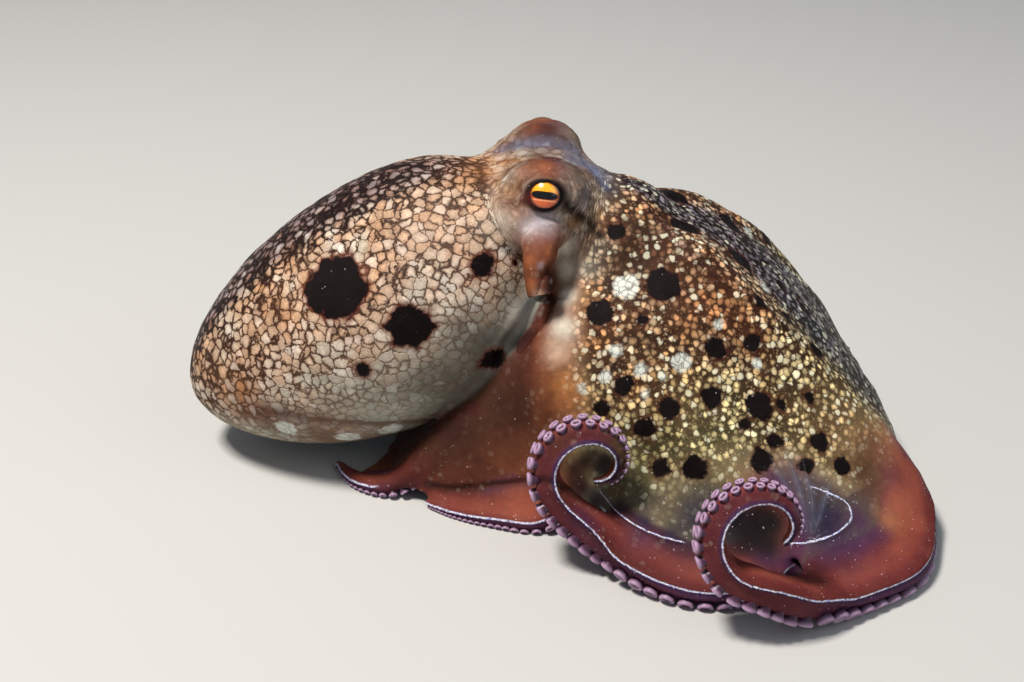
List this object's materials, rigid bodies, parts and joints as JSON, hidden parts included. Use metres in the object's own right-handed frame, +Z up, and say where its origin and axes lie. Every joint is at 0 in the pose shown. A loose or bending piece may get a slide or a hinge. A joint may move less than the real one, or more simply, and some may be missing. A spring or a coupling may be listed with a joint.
{
  "type": "common octopus",
  "caption": "Common octopus resting on the floor, mantle sagging behind the raised head, webbed arms spread forward and down, arm tips curled",
  "frame": {"origin": "on the floor, under the centre of the bounding box", "axes": "+Z up; +X runs from the mantle's tip to the front of the arms, the longest extent; the animal's right side faces -Y"},
  "size_m": [0.2513, 0.2115, 0.1155],
  "materials": {
    "mantle_skin": "wet skin, pale cells in a dark brown net with large dark spots",
    "head_skin": "wet skin, pinkish brown, finely wrinkled",
    "funnel_skin": "wet skin, orange to pale pink",
    "arm_skin": "wet skin, red-brown with a white keel line and pale suckers",
    "web_skin": "wet skin, olive and brown with dark spots",
    "eye": "glossy, orange iris with a black bar pupil"
  },
  "bodies": {
    "root": {"mantle": "mantle_skin", "head": "head_skin", "arm_crown": "head_skin", "funnel": "funnel_skin", "eye_right": "eye", "eye_left": "eye", "arm_r1_base": "arm_skin", "arm_r1_mid": "arm_skin", "arm_r1_curl": "arm_skin", "arm_r2_base": "arm_skin", "arm_r2_mid": "arm_skin", "arm_r2_curl": "arm_skin", "arm_r3_base": "arm_skin", "arm_r3_mid": "arm_skin", "arm_r4_base": "arm_skin", "arm_r4_mid": "arm_skin", "arm_l1_base": "arm_skin", "arm_l1_mid": "arm_skin", "arm_l1_curl": "arm_skin", "arm_l2_base": "arm_skin", "arm_l2_mid": "arm_skin", "arm_l3_base": "arm_skin", "arm_l3_mid": "arm_skin", "arm_l4_base": "arm_skin", "arm_l4_mid": "arm_skin", "web_r4_r3": "web_skin", "web_r3_r2": "web_skin", "web_r2_r1": "web_skin", "web_r1_l1": "web_skin", "web_l1_l2": "web_skin", "web_l2_l3": "web_skin", "web_l3_l4": "web_skin", "web_l4_r4": "web_skin"}
  },
  "joints": []
}
